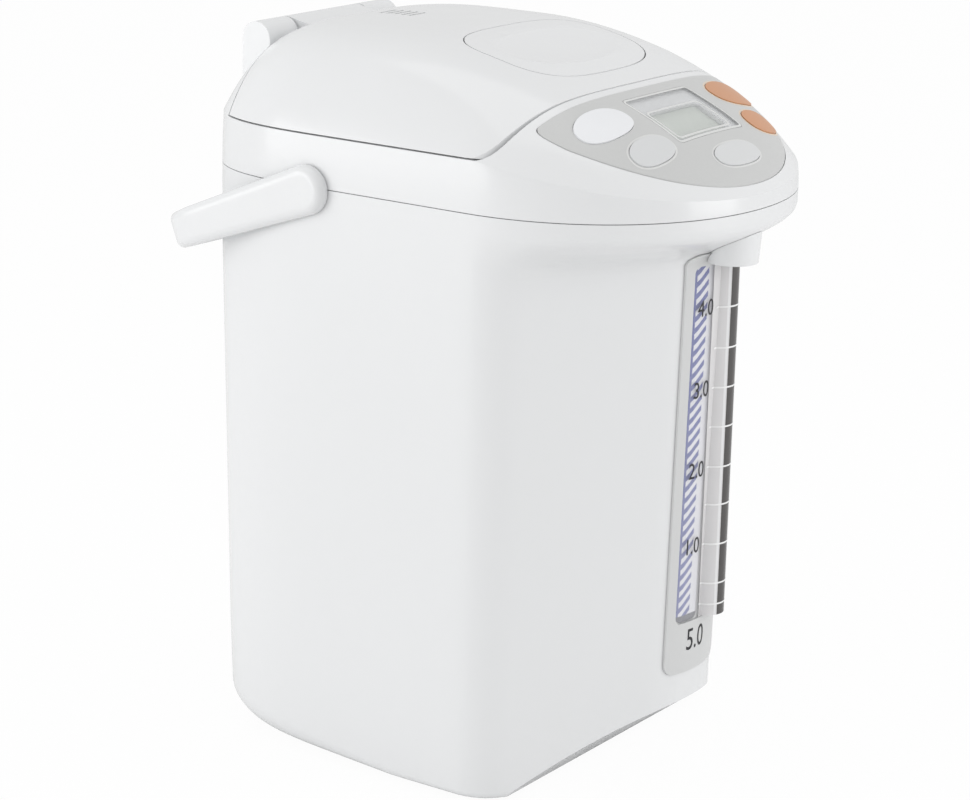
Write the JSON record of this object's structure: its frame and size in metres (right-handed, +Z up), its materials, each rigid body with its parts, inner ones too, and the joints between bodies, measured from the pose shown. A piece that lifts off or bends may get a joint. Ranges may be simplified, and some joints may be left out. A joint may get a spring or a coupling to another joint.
{
  "type": "electric thermo pot",
  "caption": "Swivelling electric hot water dispenser with a hinged domed lid, a beak with a sloping button panel, a water gauge with a clear tube and a carrying bail.",
  "frame": {"origin": "on the table under the swivel axis, at the middle of the anti-slip pad's underside", "axes": "+Z up, -Y towards the beak with the nozzle and the panel, +X to the right of someone who looks along +Y"},
  "size_m": [0.2188, 0.296, 0.3559],
  "materials": {
    "rubber_pad": "matt",
    "soft_white": "satin",
    "white_shell": "glossy",
    "steel": "brushed",
    "foam": "felted",
    "silicone": "matt",
    "dark_plastic": "matt",
    "clear": "clear",
    "silver": "satin silver",
    "board": "coated",
    "brass": "plain",
    "screen": "satin",
    "button_white": "satin",
    "button_orange": "satin"
  },
  "bodies": {
    "base": {"anti_slip_pad": "rubber_pad", "swivel_base": "soft_white", "swivel_washer": "steel"},
    "pot": {"bottom_cover": "soft_white", "body_shell": "white_shell", "shoulder": "white_shell", "vessel": "steel", "insulation_sleeve": "foam", "rim_seal": "silicone", "heater_plate": "steel", "thermostat": "dark_plastic", "inlet_strainer": "steel", "inlet_pipe": "silicone", "pump_housing": "soft_white", "pump_cover": "soft_white", "pump_motor": "dark_plastic", "outlet_pipe": "silicone", "gauge_tube": "clear", "goose_pipe": "silicone", "nozzle_tube": "soft_white", "nozzle_skirt": "white_shell", "gauge_plate": "silver", "gauge_strip": "soft_white", "gauge_cover": "clear", "power_board": "board", "relay_block": "dark_plastic", "inlet_socket": "dark_plastic", "inlet_pin_left": "brass", "inlet_pin_right": "brass", "control_board": "board", "panel_plate": "silver", "display_window": "clear", "lcd_module": "screen", "switch_reboil": "dark_plastic", "switch_timer": "dark_plastic", "switch_temp_set": "dark_plastic", "switch_dispense": "dark_plastic", "switch_unlock": "dark_plastic", "hinge_cover_left": "white_shell", "hinge_cover_right": "white_shell", "hinge_pin": "steel"},
    "lid": {"lid_shell": "white_shell", "lid_liner": "soft_white", "inner_lid": "steel", "lid_gasket": "silicone", "steam_duct": "soft_white"},
    "release": {"release_plate": "white_shell"},
    "latch": {"latch_bolt": "soft_white"},
    "handle": {"bail": "white_shell"},
    "pump_wheel": {"impeller": "soft_white"},
    "key_reboil": {"button_reboil": "button_white"},
    "key_timer": {"button_timer": "button_white"},
    "key_temp_set": {"button_temp_set": "button_white"},
    "key_dispense": {"button_dispense": "button_orange"},
    "key_unlock": {"button_unlock": "button_orange"}
  },
  "joints": [
    {"name": "swivel", "type": "hinge", "parent": "base", "child": "pot", "pos_m": [0, 0, 0], "axis": [0, 0, 1], "continuous": true},
    {"name": "lid_hinge", "type": "hinge", "parent": "pot", "child": "lid", "pos_m": [0, 0.105, 0.3435], "axis": [-1, 0, 0], "range_deg": [0, 85]},
    {"name": "release_press", "type": "hinge", "parent": "lid", "child": "release", "pos_m": [0, -0.01, 0.3505], "axis": [1, 0, 0], "range_deg": [0, 3.5], "stiffness_Nm_per_rad": 0.6, "springref_deg": -3.44},
    {"name": "latch_slide", "type": "slide", "parent": "lid", "child": "latch", "axis": [0, 1, 0], "range_m": [0, 0.0027]},
    {"name": "handle_swing", "type": "hinge", "parent": "pot", "child": "handle", "pos_m": [0, 0.03, 0.287], "axis": [1, 0, 0], "range_deg": [0, 130]},
    {"name": "pump_spin", "type": "hinge", "parent": "pot", "child": "pump_wheel", "pos_m": [0.024, -0.04, 0.0212], "axis": [0, 0, 1], "continuous": true},
    {"name": "press_reboil", "type": "slide", "parent": "pot", "child": "key_reboil", "axis": [0, 0.454, -0.891], "range_m": [0, 0.0008], "stiffness_N_per_m": 500, "springref_m": -0.0006},
    {"name": "press_timer", "type": "slide", "parent": "pot", "child": "key_timer", "axis": [0, 0.454, -0.891], "range_m": [0, 0.0008], "stiffness_N_per_m": 500, "springref_m": -0.0006},
    {"name": "press_temp_set", "type": "slide", "parent": "pot", "child": "key_temp_set", "axis": [0, 0.454, -0.891], "range_m": [0, 0.0008], "stiffness_N_per_m": 500, "springref_m": -0.0006},
    {"name": "press_dispense", "type": "slide", "parent": "pot", "child": "key_dispense", "axis": [0, 0.454, -0.891], "range_m": [0, 0.0008], "stiffness_N_per_m": 500, "springref_m": -0.0006},
    {"name": "press_unlock", "type": "slide", "parent": "pot", "child": "key_unlock", "axis": [0, 0.454, -0.891], "range_m": [0, 0.0008], "stiffness_N_per_m": 500, "springref_m": -0.0006}
  ],
  "couplings": [
    {"joint": "latch_slide", "follows": "release_press", "m_per_rad": 0.0425}
  ]
}
